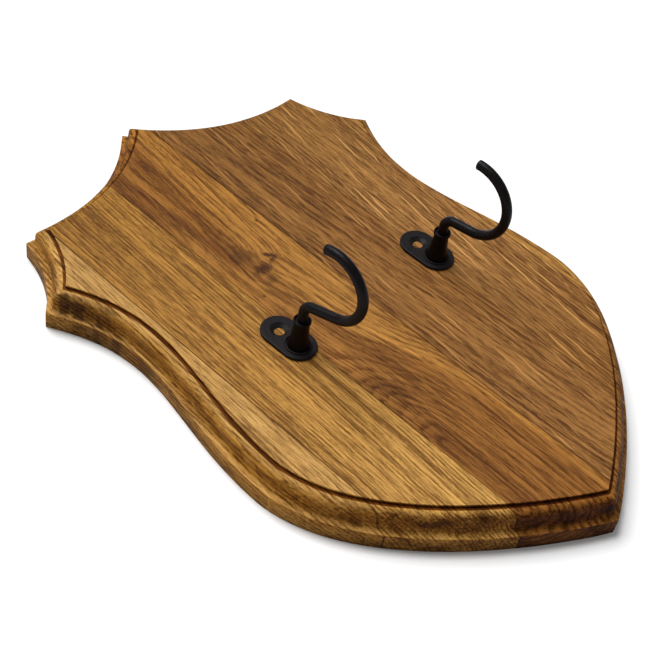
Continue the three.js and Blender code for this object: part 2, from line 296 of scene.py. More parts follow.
class Graph:
    """Adds shader nodes by short calls. Each method gives the new node's output socket."""

    def __init__(self, name):
        self.material = bpy.data.materials.new(name)
        self.material.use_nodes = True
        self.tree = self.material.node_tree
        self.shader = self.tree.nodes["Principled BSDF"]

    def feed(self, socket, value):
        if isinstance(value, bpy.types.NodeSocket):
            self.tree.links.new(value, socket)
        else:
            socket.default_value = value

    def add(self, kind, inputs, output=0, **settings):
        node = self.tree.nodes.new(kind)
        for key, value in settings.items():
            setattr(node, key, value)
        for key, value in inputs.items():
            self.feed(node.inputs[key], value)
        return node.outputs[output]

    def place(self):
        """The point in millimetres."""
        metres = self.add("ShaderNodeTexCoord", {}, "Object")
        return self.vector("MULTIPLY", metres, (1 / MM,) * 3)

    def math(self, operation, *values, clamp=False):
        return self.add("ShaderNodeMath", dict(enumerate(values)), operation=operation, use_clamp=clamp)

    def plus(self, a, b, clamp=False):
        return self.math("ADD", a, b, clamp=clamp)

    def minus(self, a, b):
        return self.math("SUBTRACT", a, b)

    def times(self, a, b, clamp=False):
        return self.math("MULTIPLY", a, b, clamp=clamp)

    def times_plus(self, a, b, c, clamp=False):
        return self.math("MULTIPLY_ADD", a, b, c, clamp=clamp)

    def vector(self, operation, *values):
        return self.add("ShaderNodeVectorMath", dict(enumerate(values)), operation=operation)

    def split(self, vector):
        return self.add("ShaderNodeSeparateXYZ", {0: vector}).node.outputs[:3]

    def join(self, x, y, z):
        return self.add("ShaderNodeCombineXYZ", {0: x, 1: y, 2: z})

    def noise(self, place, size, detail=2.0, roughness=0.5, shift=0.0):
        """Noise from 0 to 1 whose lumps are about size across, in millimetres along X, Y and Z."""
        scaled = self.vector("MULTIPLY", place, tuple(1 / length for length in size))
        moved = self.vector("ADD", scaled, (shift, shift * 0.7, shift * 1.3))
        inputs = {"Vector": moved, "Scale": 1.0, "Detail": detail, "Roughness": roughness}
        return self.add("ShaderNodeTexNoise", inputs)

    def rise(self, value, low, high, out_low=0.0, out_high=1.0, kind="SMOOTHSTEP"):
        """A smooth step from out_low to out_high as value goes from low to high."""
        inputs = {0: value, 1: low, 2: high, 3: out_low, 4: out_high}
        return self.add("ShaderNodeMapRange", inputs, interpolation_type=kind)

    def window(self, value, below, low, high, above):
        """1 between low and high, falling to 0 at below and above."""
        return self.times(self.rise(value, below, low), self.rise(value, high, above, 1.0, 0.0))

    def line(self, *limits):
        """The same in a straight line."""
        return self.rise(*limits, kind="LINEAR")

    def curve(self, value, points):
        """A smooth curve through (input, output) points, which are in order of input."""
        first, last = points[0][0], points[-1][0]
        outputs = [output for _, output in points]
        floor = min(outputs)
        span = max(outputs) - floor
        node = self.tree.nodes.new("ShaderNodeFloatCurve")
        knots = node.mapping.curves[0].points
        for index, (at, output) in enumerate(points):
            spot = ((at - first) / (last - first), (output - floor) / span)
            if index < 2:
                knots[index].location = spot
            else:
                knots.new(*spot)
        node.mapping.update()
        self.feed(node.inputs["Value"], self.line(value, first, last, 0, 1))
        return self.times_plus(node.outputs[0], span, floor)

    def mix(self, factor, low, high, blend="MIX"):
        inputs = {0: factor, 6: low, 7: high}
        return self.add("ShaderNodeMix", inputs, 2, data_type="RGBA", blend_type=blend)

    def bump(self, height, distance):
        """A normal for heights from 0 to 1 that stand for 0 to distance, in millimetres."""
        inputs = {"Height": height, "Distance": distance * MM, "Strength": 1.0}
        return self.add("ShaderNodeBump", inputs)

    def dyed(self, colour, tint):
        """The colour multiplied by tint."""
        return self.mix(1.0, colour, (*tint, 1.0), "MULTIPLY")

    def tinted(self, mask, colour, tint):
        """The colour multiplied by tint where mask is 1."""
        return self.mix(mask, colour, self.dyed(colour, tint))

    def length(self, a, b):
        return self.math("SQRT", self.plus(self.times(a, a), self.times(b, b)))

    def surface(self, **sockets):
        for name, value in sockets.items():
            self.feed(self.shader.inputs[name.replace("_", " ")], value)
        return self.material


def linear(red, green, blue):
    """A display colour from 0 to 255 as a linear one with alpha."""
    def channel(value):
        value = value / 255
        return value / 12.92 if value <= 0.04045 else ((value + 0.055) / 1.055) ** 2.4
    return (channel(red), channel(green), channel(blue), 1.0)


# ---- oak ----

# tones: the stave's colour at the crest, the middle and the tip.
# flow: how far the grain strays in X, at points up Y.
# pith: the X of the tree's centre, and how deep it lies below the show face, at points up Y.
# ring: the width of a growth ring. rings, rays and contrast: the strength of the rings, the flecks and
# the grain.
OAK = {
    "stave_far_left": {
        "tones": [(170, 128, 68), (168, 126, 66), (165, 122, 63)],
        "flow": [(-160, -8), (160, 8)], "pith": (-330, [(-160, 240), (160, 250)]),
        "ring": 1.9, "rings": 1.0, "rays": 0.3, "contrast": 0.95,
    },
    "stave_left": {
        "tones": [(145, 100, 37), (157, 111, 48), (174, 130, 65)],
        "flow": [(-160, -10), (-60, -4), (160, 6)], "pith": (-420, [(-160, 210), (160, 220)]),
        "ring": 1.6, "rings": 1.3, "rays": 0.12, "contrast": 1.3,
    },
    "stave_mid_left": {
        "tones": [(147, 98, 36), (149, 102, 44), (140, 93, 38)],
        "flow": [(-160, 6.5), (-100, 7.6), (-70, 7), (-40, 4), (-10, 0), (20, -1), (50, 1), (160, 14)],
        "pith": (-43.5, [(-160, 1.0), (-103, 1.5), (-66, 12.5), (-20, 27), (20, 31), (160, 33)]),
        "ring": 3.1, "rings": 1.35, "rays": 0.05, "contrast": 1.2,
    },
    "stave_mid_right": {
        "tones": [(115, 75, 30), (124, 82, 37), (128, 86, 41)],
        "flow": [(-160, 6), (-40, 0), (40, -1), (160, 4)], "pith": (250, [(-160, 300), (160, 290)]),
        "ring": 1.9, "rings": 1.4, "rays": 0.8, "contrast": 1.5,
    },
    "stave_right": {
        "tones": [(125, 85, 37), (140, 97, 49), (125, 83, 36)],
        "flow": [(-160, -6), (0, 0), (160, 12)], "pith": (420, [(-160, 60), (160, 66)]),
        "ring": 2.2, "rings": 1.2, "rays": 1.0, "contrast": 1.4,
    },
    "stave_far_right": {
        "tones": [(140, 98, 46), (144, 102, 47), (147, 104, 48)],
        "flow": [(-160, -8), (0, 0), (160, 14)], "pith": (460, [(-160, 50), (160, 56)]),
        "ring": 2.2, "rings": 1.2, "rays": 1.0, "contrast": 1.4,
    },
}

# Bands of darker or paler wood: upper point, its half width, lower point, its half width, tint, strength.
BANDS = {
    "stave_far_left": [
        ((-93, -16), 2.6, (-93, -36), 2.0, (1.20, 1.26, 1.40), 0.8),
        ((-91, -52), 2.0, (-92, -80), 2.4, (1.18, 1.24, 1.38), 0.8),
    ],
    "stave_left": [
        ((-48, 128), 1.6, (-47.5, 40), 1.0, (1.22, 1.22, 1.2), 0.8),
        ((-72, 130), 12.0, (-74, 60), 6.0, (0.86, 0.84, 0.80), 0.8),
        ((-56, 60), 3.5, (-54, -10), 2.0, (0.82, 0.80, 0.76), 0.7),
        ((-66, 20), 1.4, (-65, -120), 1.4, (1.16, 1.16, 1.15), 0.7),
    ],
    "stave_mid_left": [
        ((-36.0, 156), 7.5, (-37.6, 82), 4.6, (0.58, 0.50, 0.36), 0.95),
        ((-16, 156), 8.0, (-27, 46), 6.0, (0.70, 0.63, 0.48), 0.9),
        ((-31.6, 118), 1.6, (-30.6, 46), 3.0, (0.62, 0.52, 0.40), 0.85),
        ((-34, 130), 1.3, (-35, 114), 1.0, (0.66, 0.60, 0.54), 0.9),
        ((-19.6, 125), 0.9, (-25, 60), 0.9, (0.58, 0.50, 0.42), 0.9),
        ((-30.7, 98), 0.8, (-32.4, 44), 1.0, (0.66, 0.58, 0.50), 0.8),
        ((-16.5, 140), 4.0, (-17, 118), 3.4, (0.78, 0.72, 0.68), 0.8),
        ((-7.5, 118), 0.5, (-9.6, 84), 0.5, (0.68, 0.60, 0.50), 0.8),
        ((-36.5, -20), 4.4, (-35, -44), 2.6, (1.42, 1.46, 1.50), 0.9),
        ((-24, -24), 6.0, (-14, -60), 7.0, (0.84, 0.80, 0.78), 0.8),
        ((-39.5, -42), 3.4, (-25, -66), 3.6, (0.70, 0.64, 0.60), 0.85),
        ((-36, -78), 2.4, (-35.5, -108), 4.0, (0.72, 0.66, 0.60), 0.8),
        ((-11.8, -22), 0.6, (-4.6, -56), 0.7, (1.30, 1.30, 1.30), 0.9),
        ((-4.6, -56), 0.7, (2.0, -106), 0.7, (1.26, 1.26, 1.26), 0.9),
    ],
    "stave_mid_right": [
        ((30, 74), 1.8, (33, 40), 1.2, (0.74, 0.70, 0.66), 0.8),
        ((24, 130), 4.5, (27, 30), 3.0, (0.86, 0.84, 0.80), 0.8),
        ((14, -20), 3.0, (19, -120), 4.0, (0.88, 0.86, 0.84), 0.8),
    ],
    "stave_right": [
        ((70, 90), 5.0, (64, -20), 4.0, (1.08, 1.08, 1.06), 0.7),
        ((58, -60), 4.0, (62, -120), 3.0, (0.90, 0.88, 0.86), 0.8),
    ],
}

# The dark heartwood of one stave ends along this line: X at points up Y.
HEART_EDGE = [(-160, 0), (-103, 0.8), (-66, -2.9), (-44, -8), (-21, -18), (20, -24), (33, -20),
              (50, -18.8), (69, -24), (76, -23), (102, -15), (119, -12.5), (160, -11)]

# Knots and dark blots: place, half sizes, turn in degrees, how far they push the grain, how dark.
KNOTS = {
    "stave_mid_left": [
        ((-22.4, 37.6), (6.2, 3.8), 8, 2.0, 0.96),
        ((-24.0, 50.0), (5.4, 8.6), 14, 0.0, 0.62),
        ((-13.4, 42.8), (1.6, 4.2), 40, 0.8, 0.95),
        ((-13.4, 39.6), (3.8, 1.6), 14, 0.0, 0.85),
        ((-23.5, 30.0), (4.6, 3.0), 0, 0.0, 0.50),
        ((-30.0, 18.0), (1.2, 6.4), 0, 0.0, 0.40),
        ((-35.1, 23.8), (0.7, 1.1), 0, 0.6, 0.85),
        ((-0.6, 64.6), (1.0, 0.8), 0, 0.6, 0.75),
        ((-7.7, 60.6), (0.6, 0.6), 0, 0.3, 0.60),
    ],
}

# Scorched patches on the moulding: place, half sizes, how dark.
SCORCHES = [
    ((-107.0, 84.0), (2.4, 3.6), 0.90),
    ((-104.6, 76.7), (3.0, 6.0), 0.95),
    ((-101.4, 65.7), (3.4, 4.4), 0.85),
    ((-99.8, 55.7), (3.4, 4.6), 0.75),
    ((-102.5, 68.0), (6.0, 20.0), 0.55),
    ((-98.0, 36.0), (2.6, 9.0), 0.45),
]

# How dark the glue leaves each seam, from the left.
SEAM_DARK = [0.80, 0.50, 0.60, 0.20, 0.15]


def ellipse(graph, x, y, centre, half, turn=0):
    """Distance from centre in units of the half sizes, turned anticlockwise by degrees."""
    sine = sin(radians(turn))
    cosine = cos(radians(turn))
    from_x = graph.minus(x, centre[0])
    from_y = graph.minus(y, centre[1])
    along = graph.times_plus(from_y, sine, graph.times(from_x, cosine))
    up = graph.times_plus(from_x, -sine, graph.times(from_y, cosine))
    return graph.length(graph.math("DIVIDE", along, half[0]), graph.math("DIVIDE", up, half[1]))


def knots_in(graph, raw, x, y, knots, shift):
    """How far the knots push the grain aside, and how dark they leave it."""
    push = 0.0
    knot_dark = 0.0
    ragged = graph.noise(raw, (1.6, 3.0, 3.0), 3.0, 0.6, shift) if knots else 0.0
    for centre, half, turn, shove, dark in knots:
        if shove:
            flow = ellipse(graph, x, y, centre, (half[0] * 2.2, half[1] * 3.6), turn)
            swell = graph.math("EXPONENT", graph.times(graph.times(flow, flow), -1.0))
            push = graph.times_plus(swell, shove, push)
        near = graph.times_plus(ragged, 1.8, ellipse(graph, x, y, centre, half, turn))
        blot = graph.rise(near, 1.15, 2.3, dark, 0.0)
        knot_dark = graph.math("MAXIMUM", blot, knot_dark)
    return push, knot_dark


def band_mask(graph, x, y, ragged, band):
    """1 inside a leaning band with ragged sides, 0 outside it."""
    (top_x, top_y), top_half, (low_x, low_y), low_half = band
    centre = graph.line(y, low_y, top_y, low_x, top_x)
    half = graph.line(y, low_y, top_y, low_half, top_half)
    distance = graph.math("ABSOLUTE", graph.minus(x, centre))
    stray = graph.times(ragged, min(1.0, max(top_half, low_half) / 4))
    ratio = graph.math("DIVIDE", graph.plus(distance, stray), half)
    inside = graph.rise(ratio, 0.55, 1.45, 1.0, 0.0)
    fade = min(14, (top_y - low_y) / 3)
    return graph.times(inside, graph.window(y, low_y - fade, low_y + fade, top_y - fade, top_y + fade))


def ray_flecks(graph, place, lean, cell, half_width, half_length, shift):
    """Thin pale lens shapes, one in each cell of about that size, leaning over the grain."""
    x, y, _ = graph.split(place)
    sway = graph.times_plus(graph.noise(place, (22, 9, 22), shift=shift), 1.8, -0.9)
    leaning = graph.plus(graph.times_plus(y, -lean, x), sway)
    u = graph.times_plus(leaning, 1 / cell[0], shift)
    v = graph.math("DIVIDE", y, cell[1])
    spot = graph.join(u, v, 0.0)
    inputs = {"Vector": spot, "Scale": 1.0}
    node = graph.add("ShaderNodeTexVoronoi", inputs, voronoi_dimensions="2D").node
    chance = graph.split(node.outputs["Color"])
    off_u, off_v, _ = graph.split(graph.vector("SUBTRACT", spot, node.outputs["Position"]))
    across = graph.times(graph.math("ABSOLUTE", off_u), cell[0] / half_width)
    along = graph.times(graph.math("ABSOLUTE", off_v), cell[1] / half_length)
    length = graph.line(chance[0], 0, 1, 0.35, 1.0)
    along = graph.math("DIVIDE", along, length)
    lens = graph.times_plus(graph.times(along, along), -1.0, 1.0)
    fleck = graph.rise(graph.minus(lens, across), 0.0, 0.30)
    bold = graph.rise(chance[1], 0.10, 0.75, 0.30, 1.0)
    return graph.times(fleck, bold)


def shaded_and_stained_moulding(graph, place, colour, normal, shift):
    """Painted shade in the quirk, on faces that don't face up, on the drop, in the cove's floor and on
    steep faces towards the tip, lifted on the upward ledge; with the stain of upright wood and end grain,
    scorches, and darker, greyer wood low down.
    """
    x, y, z = graph.split(place)
    facing_x, facing_y, facing_z = graph.split(normal)
    level = graph.math("SQRT", graph.plus(graph.times(facing_x, facing_x),
                                          graph.times_plus(facing_y, facing_y, 1e-6)))
    # End grain faces: full on faces towards the tip, which turn away from the key light, half on faces
    # towards the crest.
    to_tip = graph.math("DIVIDE", facing_y, graph.times(level, -1.0))
    end_grain = graph.math("MAXIMUM", graph.rise(to_tip, 0.25, 0.95),
                           graph.rise(to_tip, -0.2, -1.0, 0, 0.5))

    patch = graph.noise(place, (11, 18, 7), 3.0, 0.62, shift)
    fine = graph.noise(place, (1.6, 4.0, 1.2), 3.0, 0.65, shift + 4)
    uneven = graph.plus(graph.rise(patch, 0.34, 0.66, 0.66, 1.15),
                        graph.line(fine, 0.3, 0.7, -0.24, 0.24))
    # Painted shade on faces that don't face up, together with the stain that soaks into the upright wood.
    upright = graph.times(graph.rise(facing_z, 0.42, 0.97, 1.0, 0.0), uneven, clamp=True)
    tilted = graph.line(facing_z, 0.68, 0.97, 1.0, 0.0)
    # The cove's floor faces up, so the painted end shade is mostly lifted there.
    ledge_z = BOARD_TOP - QUIRK - OVOLO_RADIUS - DROP - COVE_RADIUS
    ledge = graph.window(z, ledge_z - 0.8, ledge_z - 0.3, ledge_z + 0.1, ledge_z + 2.4)
    spare_lit_ledge = graph.times_plus(ledge, -0.8, 1.0)
    # Painted shade on steep faces towards the tip, away from the key light, with the darker stain of end
    # grain.
    end_shade_and_stain = graph.times(graph.times(tilted, end_grain), uneven, clamp=True)
    cove_top = ledge_z + COVE_RADIUS
    # Painted shade on the drop and the lower ovolo, which face away from the overhead light.
    shaded_drop = graph.window(z, cove_top - 0.6, cove_top + 0.2, BOARD_TOP - 6.2, BOARD_TOP - 4.4)
    burnt = graph.times(graph.rise(patch, 0.56, 0.66), tilted)
    scorched = 0.0
    for centre, half, strength in SCORCHES:
        near = graph.times_plus(graph.minus(patch, 0.5), 2.6,
                                graph.times_plus(graph.minus(fine, 0.5), 1.6,
                                                 ellipse(graph, x, y, centre, half)))
        scorched = graph.math("MAXIMUM", graph.rise(near, 0.35, 1.25, strength, 0.0), scorched)
    fillet_z = BOARD_TOP - QUIRK
    for mask, tint in (
        (upright, (0.68, 0.54, 0.24)),
        (graph.times(end_shade_and_stain, spare_lit_ledge), (0.36, 0.31, 0.40)),
        # painted shade in the floor of the cove
        (graph.times(ledge, graph.minus(1.0, end_grain)), (0.92, 0.88, 0.80)),
        (shaded_drop, (0.80, 0.71, 0.54)),
        (graph.times(burnt, 0.75), (0.42, 0.36, 0.36)),
        (graph.times(scorched, graph.rise(tilted, 0.05, 0.3)), (0.20, 0.17, 0.20)),
        # darker and greyer towards the bottom of the steep faces
        (graph.times(graph.line(z, 0.5, 8.0, 0.75, 0.0), tilted), (0.50, 0.54, 0.60)),
        # painted shade: a dark line in the quirk
        (graph.window(z, fillet_z - 0.12, fillet_z - 0.03, BOARD_TOP - 1.1, BOARD_TOP - 0.3),
         (0.27, 0.14, 0.02)),
    ):
        colour = graph.tinted(mask, colour, tint)
    return colour


def oak(name, edge):
    """Oiled oak for one stave; edge gives the moulding its painted shade and its darker, blotchier stain.
    """
    look = OAK[name]
    index = STAVES.index(name)
    graph = Graph(f"{name}_{'edge' if edge else 'face'}")
    shift = index * 7.3
    raw = graph.place()
    x, y, z = graph.split(raw)

    # Grain runs along Y, follows the flow, wanders a little and parts round the knots.
    push, knot_dark = knots_in(graph, raw, x, y, KNOTS.get(name, []), shift)
    wander = graph.times_plus(graph.noise(raw, (50, 190, 50), 1.0, shift=shift), 5.0, -2.5)
    across = graph.plus(graph.minus(x, graph.curve(y, look["flow"])), wander)
    place = graph.join(graph.plus(across, push), y, z)

    # Growth rings about the pith, each of its own depth of colour.
    pith_x, pith_depth = look["pith"]
    run = graph.minus(across, pith_x)
    depth = graph.minus(graph.plus(z, graph.curve(y, pith_depth)), BOARD_TOP)
    radius = graph.plus(graph.length(run, depth), push)
    waver = graph.noise(place, (13, 60, 13), 3.0, 0.55, shift)
    turns = graph.times_plus(waver, 3.2, graph.math("DIVIDE", radius, look["ring"]))
    part = graph.math("FRACT", turns)
    broken = graph.rise(graph.noise(place, (1.3, 30, 1.3), 2.0, 0.6, shift + 6), 0.30, 0.62, 0.2, 1.0)
    early = graph.times(graph.window(part, 0.0, 0.12, 0.2, 0.7), broken)
    turn = {"W": graph.math("FLOOR", turns)}
    ring_tone = graph.add("ShaderNodeTexWhiteNoise", turn, noise_dimensions="1D")

    fibre = graph.noise(place, (1.1, 70, 1.1), 4.0, 0.72, shift)
    fleck_row = graph.join(x, graph.times_plus(fibre, 60.0, y), z)
    dash = graph.noise(fleck_row, (0.7, 3.4, 0.7), 2.0, 0.75, shift + 3)
    line = graph.noise(place, (0.9, 16, 0.9), 2.0, 0.6, shift + 8)
    streak = graph.noise(place, (4.2, 240, 4.2), 3.0, 0.62, shift)
    broad = graph.noise(place, (16, 260, 16), 1.0, 0.5, shift + 5)

    contrast = look["contrast"]
    rings = look["rings"] * (1.8 if edge else 1.0)
    dark = graph.times_plus(early, 0.16 * rings, -0.05 * rings)
    dark = graph.times_plus(graph.times(early, ring_tone), 0.36 * rings, dark)
    for source, weight in ((fibre, 1.7), (line, 1.6), (dash, 2.6), (streak, 1.4), (broad, 0.7)):
        dark = graph.times_plus(graph.minus(source, 0.5), weight * contrast, dark)
    dark = graph.plus(dark, 0.42, clamp=True)

    tip_tone, middle_tone, crest_tone = (linear(*tone) for tone in reversed(look["tones"]))
    low_half = graph.mix(graph.line(y, -130, 0, 0, 1), tip_tone, middle_tone)
    tone = graph.mix(graph.line(y, 0, 120, 0, 1), low_half, crest_tone)
    colour = graph.mix(dark, graph.dyed(tone, (1.50, 1.56, 1.68)), graph.dyed(tone, (0.44, 0.36, 0.26)))

    ragged = graph.times_plus(graph.noise(place, (3.0, 60, 3.0), 3.0, 0.6, shift + 9), 7.0, -3.5)
    if name == "stave_mid_left":
        past = graph.minus(graph.times_plus(ragged, 0.5, x), graph.curve(y, HEART_EDGE))
        heart = graph.times(graph.rise(past, -1.4, 1.0, 1.0, 0.0), graph.line(y, 0, 50, 0.9, 0.4))
        colour = graph.tinted(heart, colour, (0.76, 0.69, 0.67))
    for *band, tint, strength in BANDS.get(name, []):
        mask = graph.times(band_mask(graph, x, y, ragged, band), strength)
        colour = graph.tinted(mask, colour, tint)

    # Open pores: short dark dashes, thickest in the early wood.
    pore_noise = graph.noise(place, (0.34, 5.5, 0.34), 1.0, 0.5, shift + 1)
    threshold = graph.times_plus(early, -0.09, 0.66)
    pores = graph.rise(graph.minus(pore_noise, threshold), 0.0, 0.06)
    colour = graph.tinted(graph.times(pores, 0.5), colour, (0.42, 0.36, 0.30))

    flecks = graph.math("MAXIMUM",
                        ray_flecks(graph, place, 0.12, (9, 40), 0.62, 24, shift),
                        graph.times(ray_flecks(graph, place, 0.17, (5, 15), 0.50, 6, shift + 2), 0.45))
    flecks = graph.times(flecks, look["rays"])
    colour = graph.mix(flecks, colour, graph.dyed(tone, (2.2, 2.5, 3.1)))

    if KNOTS.get(name):
        colour = graph.mix(knot_dark, colour, linear(64, 32, 10))
    beside = slice(max(index - 1, 0), index + 1)
    for seam, dark_seam in zip(SEAMS[beside], SEAM_DARK[beside]):
        away = graph.math("ABSOLUTE", graph.minus(x, seam))
        colour = graph.tinted(graph.rise(away, 0.1, 0.5, dark_seam, 0.0), colour, (0.30, 0.24, 0.18))

    # The moulding gets its painted shade and stain.
    if edge:
        normal = graph.add("ShaderNodeNewGeometry", {}, "Normal")
        colour = shaded_and_stained_moulding(graph, raw, colour, normal, shift)

    relief = graph.times_plus(pores, -0.75, graph.times_plus(fibre, 0.35, 0.5))
    shine = graph.times_plus(flecks, -0.10, graph.line(dark, 0, 1, 0.50, 0.60))
    shine = graph.times_plus(pores, 0.15, shine, clamp=True)
    return graph.surface(Base_Color=colour, Roughness=shine, Normal=graph.bump(relief, 0.12),
                         Specular_IOR_Level=0.05 if edge else 0.12)


# ---- the board ----

def scallop(a, b, rise, steps):
    """Stations along the arc from a to b that bows inwards by rise."""
    chord = b - a
    half = chord.length / 2
    radius = (half * half + rise * rise) / (2 * rise)
    outward = Vector((-chord.y, chord.x)).normalized()
    centre = (a + b) / 2 + outward * (radius - rise)
    start = atan2(a.y - centre.y, a.x - centre.x)
    turn = 2 * asin(half / radius)
    stations = []
    for i in range(steps + 1):
        angle = start + turn * i / steps
        spoke = Vector((cos(angle), sin(angle)))
        stations.append((centre + spoke * radius, -spoke))
    return stations


def flowing(a, b, c, d, steps):
    """Stations along a cubic Bezier curve."""
    stations = []
    for i in range(steps + 1):
        t = i / steps
        s = 1 - t
        point = a * s ** 3 + b * 3 * s * s * t + c * 3 * s * t * t + d * t ** 3
        tangent = ((b - a) * s * s + (c - b) * 2 * s * t + (d - c) * t * t).normalized()
        stations.append((point, Vector((-tangent.y, tangent.x))))
    return stations


def mitre(before, after):
    """Where two offset edges meet, per millimetre of offset."""
    return (before + after) / (1 + before.dot(after))


def right_stations():
    """Stations down the right half: a point of the show face's edge and its way outwards."""
    runs = [
        scallop(CREST, HORN, TOP_SCALLOP_RISE, 48),
        scallop(HORN, SHOULDER, SIDE_SCALLOP_RISE, 24),
        flowing(SHOULDER, *FLANK_HANDLES, BELLY, 72),
        flowing(BELLY, *POINT_HANDLES, TIP, 80),
    ]
    first = runs[0][0][1]
    before = Vector((-first.x, first.y))
    stations = []
    for run in runs:
        stations.append((run[0][0], mitre(before, run[0][1])))
        stations.extend(run[1:-1])
        before = run[-1][1]
    stations.append((TIP, mitre(before, Vector((-before.x, before.y)))))
    return stations


def moulding_profile():
    """The moulding as (offset, height) pairs, from the show face's edge down to the back."""
    ovolo_low = BOARD_TOP - QUIRK - OVOLO_RADIUS
    cove_top = ovolo_low - DROP
    band = FILLET + OVOLO_RADIUS + DROP_SLANT + COVE_RADIUS
    ovolo = [(FILLET + OVOLO_RADIUS * sin(pi / 2 * i / 14),
              ovolo_low + OVOLO_RADIUS * cos(pi / 2 * i / 14)) for i in range(15)]
    cove = [(band - COVE_RADIUS * cos(pi / 2 * i / 12),
             cove_top - COVE_RADIUS * sin(pi / 2 * i / 12)) for i in range(13)]
    line = [(-1.0, BOARD_TOP), (0, BOARD_TOP), (0, BOARD_TOP - QUIRK), *ovolo, *cove,
            (band, 0), (band - 1, 0)]
    return softened(line, ARRIS)


def shield_blank():
    right = right_stations()
    left = [(Vector((-point.x, point.y)), Vector((-push.x, push.y))) for point, push in right[-2:0:-1]]
    stations = right + left
    profile = moulding_profile()
    band = max(offset for offset, _ in profile)
    crest_y = (CREST + right[0][1] * band).y
    tip_y = (TIP + right[-1][1] * band).y
    centre_y = (crest_y + tip_y) / 2
    rings = []
    for offset, height in profile:
        loose = 0 if offset < 0 or height in (0, BOARD_TOP) else WOBBLE
        ring = []
        for point, push in stations:
            stray = loose * noise.noise(Vector((point.x / 14, point.y / 14, height / 5)))
            at = point + push * min(offset + stray, band)
            ring.append((at.x, at.y - centre_y, height))
        rings.append(ring)
    return lofted("shield_blank", rings)


def hanger_size():
    """Half the hanger plate's width, and how far the centres of its ends lie from its middle."""
    low, high = node_box("hanger_plate")
    half = (high.x - low.x) / 2
    return half, (high.y - low.y) / 2 - half


def board_cutters():
    cutters = []
    for axis in HOOK_AXES.values():
        cutters += [drill(BORE_RADIUS, -1, BOARD_TOP + 1, axis),
                    drill(COUNTERBORE_RADIUS, -1, COUNTERBORE_DEPTH, axis)]
    half, end = hanger_size()
    pocket = half + POCKET_CLEARANCE
    cutters.append(slot_block("pocket", -1, HANGER_POCKET_DEPTH, HANGER_MIDDLE, -end, pocket, end, pocket))
    cutters.append(slot_block("cavity", -1, KEY_CAVITY_DEPTH, HANGER_MIDDLE, -KEY_ENTRY_DROP,
                              KEY_CAVITY_RADIUS, KEY_SLOT_RISE, KEY_CAVITY_RADIUS))
    for centre in SCREW_CENTRES.values():
        cutters.append(drill(SCREW_SHANK_RADIUS, -1, SCREW_LENGTH, centre, 24))
    return cutters


def sliced(blank, name, left, right):
    """The stave between two planes, with the long edges of its show face just broken."""
    stave = placed(name, blank.data.copy())

    def slice_off(mesh):
        for x, way in ((left, -1), (right, 1)):
            everything = mesh.verts[:] + mesh.edges[:] + mesh.faces[:]
            bmesh.ops.bisect_plane(mesh, geom=everything, dist=1e-8, plane_co=(x * MM, 0, 0),
                                   plane_no=(way, 0, 0), clear_outer=True)
            rim = [edge for edge in mesh.edges if edge.is_boundary]
            if rim:
                bmesh.ops.holes_fill(mesh, edges=rim, sides=0)

    def break_edges(mesh):
        top = BOARD_TOP * MM
        tight = 1e-6
        long_edges = [edge for edge in mesh.edges
                      if all(abs(vert.co.z - top) < tight for vert in edge.verts)
                      and any(all(abs(vert.co.x - x * MM) < tight for vert in edge.verts)
                              for x in (left, right))]
        bmesh.ops.bevel(mesh, geom=long_edges, offset=SEAM_CHAMFER * MM, segments=1, affect="EDGES")

    edit(stave, slice_off)
    edit(stave, break_edges)
    return stave


def build_board():
    blank = carve(shield_blank(), board_cutters())
    reach = 200
    cuts = [-reach, *SEAMS, reach]
    half_gap = GLUE_LINE / 2
    for name, left, right in zip(STAVES, cuts, cuts[1:]):
        stave = sliced(blank, f"oak_{name}", left + half_gap, right - half_gap)
        for face in stave.data.polygons:
            on_show_face = face.normal.z > 0.99 and face.center.z > (BOARD_TOP - 0.2) * MM
            on_back = face.normal.z < -0.99 and face.center.z < 0.2 * MM
            face.material_index = 0 if on_show_face or on_back else 1
        finish_piece(stave, "plaque", [oak(name, False), oak(name, True)], name)
    bpy.data.objects.remove(blank)


# ---- metal finishes ----

def black_finish(name, tone, roughness, gloss, glint_share):
    """Satin black powder coat: fine orange peel, faint clouding, and light specks painted in as the glints
    of its rough surface.
    """
    graph = Graph(name)
    place = graph.place()
    cloud = graph.noise(place, (6, 6, 6), 3.0, 0.6)
    peel = graph.noise(place, (1.3, 1.3, 1.3), 3.0, 0.6)
    # Painted highlights: light specks for the glints of the rough coat.
    glint_speck = graph.rise(graph.noise(place, (0.35, 0.35, 0.35), 1.0, 0.5, 4.0), 0.68, 0.76)
    low, high = ((*(channel * share for channel in tone), 1.0) for share in (0.7, 1.45))
    colour = graph.mix(cloud, low, high)
    colour = graph.mix(graph.times(glint_speck, glint_share), colour, (0.075, 0.068, 0.070, 1.0))
    shine = graph.line(cloud, 0.3, 0.7, roughness - 0.06, roughness + 0.08)
    return graph.surface(Base_Color=colour, Roughness=shine, Normal=graph.bump(peel, 0.16),
                         Specular_IOR_Level=gloss)


def zinc_finish(name):
    """Dull zinc plating: soft spangle, drawing lines and handling marks."""
    graph = Graph(name)
    place = graph.place()
    cell = graph.add("ShaderNodeTexVoronoi", {"Vector": place, "Scale": 0.45}, "Color")
    spangle = graph.split(cell)[0]
    drawn = graph.noise(place, (0.25, 9, 0.25), 3.0, 0.6)
    cloud = graph.noise(place, (4, 4, 4), 3.0, 0.6, 2.0)
    colour = graph.mix(cloud, (0.50, 0.51, 0.52, 1.0), (0.68, 0.69, 0.70, 1.0))
    colour = graph.mix(graph.times(spangle, 0.25), colour, (0.42, 0.44, 0.47, 1.0))
    shine = graph.times_plus(drawn, 0.22, graph.line(cloud, 0.3, 0.7, 0.24, 0.40), clamp=True)
    return graph.surface(Base_Color=colour, Metallic=1.0, Roughness=shine,
                         Normal=graph.bump(drawn, 0.02))


